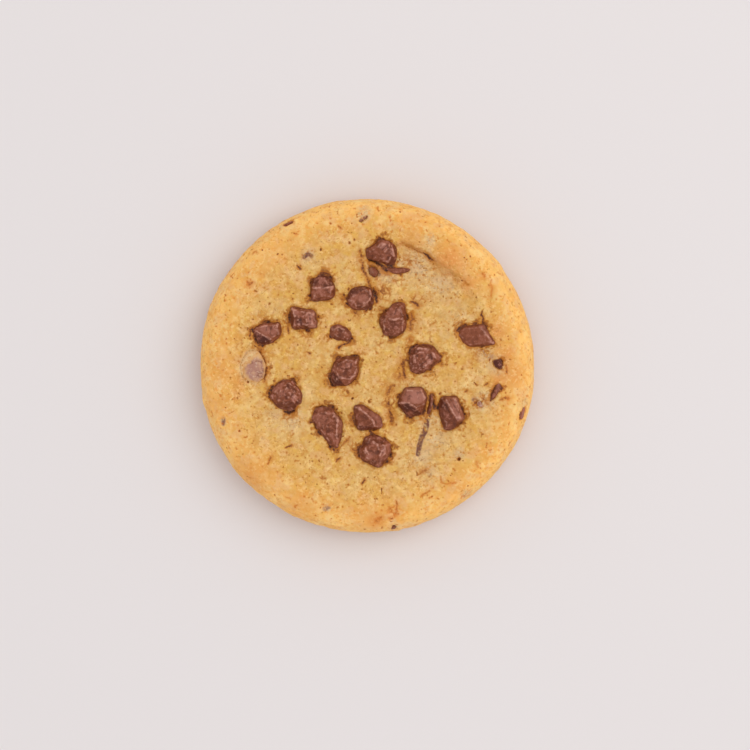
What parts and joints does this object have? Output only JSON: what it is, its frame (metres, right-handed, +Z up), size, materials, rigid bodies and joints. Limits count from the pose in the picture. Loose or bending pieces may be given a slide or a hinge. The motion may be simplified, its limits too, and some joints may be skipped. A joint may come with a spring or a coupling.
{
  "type": "cookie",
  "caption": "Thick round soft-baked cookie with broken chocolate chunks set in its top, lying on a flat base.",
  "frame": {"origin": "middle of the flat base, on the surface that the cookie lies on", "axes": "+Z up out of the chunk-studded top; +X and +Y lie in the base, with the rim's highest stretch towards +X and +Y"},
  "size_m": [0.0848, 0.0848, 0.0168],
  "materials": {
    "dough": "matte baked dough",
    "chocolate": "satin milk chocolate",
    "veiled_chocolate": "matte chocolate under a film of dough"
  },
  "bodies": {
    "root": {"dough": "dough", "chunk_01": "chocolate", "chunk_02": "chocolate", "chunk_03": "chocolate", "chunk_04": "chocolate", "chunk_05": "chocolate", "chunk_06": "chocolate", "chunk_07": "chocolate", "chunk_08": "chocolate", "chunk_09": "chocolate", "chunk_10": "chocolate", "chunk_11": "chocolate", "chunk_12": "chocolate", "chunk_13": "chocolate", "chunk_14": "chocolate", "chunk_15": "chocolate", "chunk_16": "chocolate", "chunk_17": "veiled_chocolate", "sliver_01": "chocolate", "sliver_02": "veiled_chocolate", "sliver_03": "chocolate", "sliver_04": "chocolate", "sliver_05": "chocolate", "sliver_06": "veiled_chocolate", "sliver_07": "chocolate", "sliver_08": "veiled_chocolate", "sliver_09": "veiled_chocolate", "sliver_10": "chocolate"}
  },
  "joints": []
}
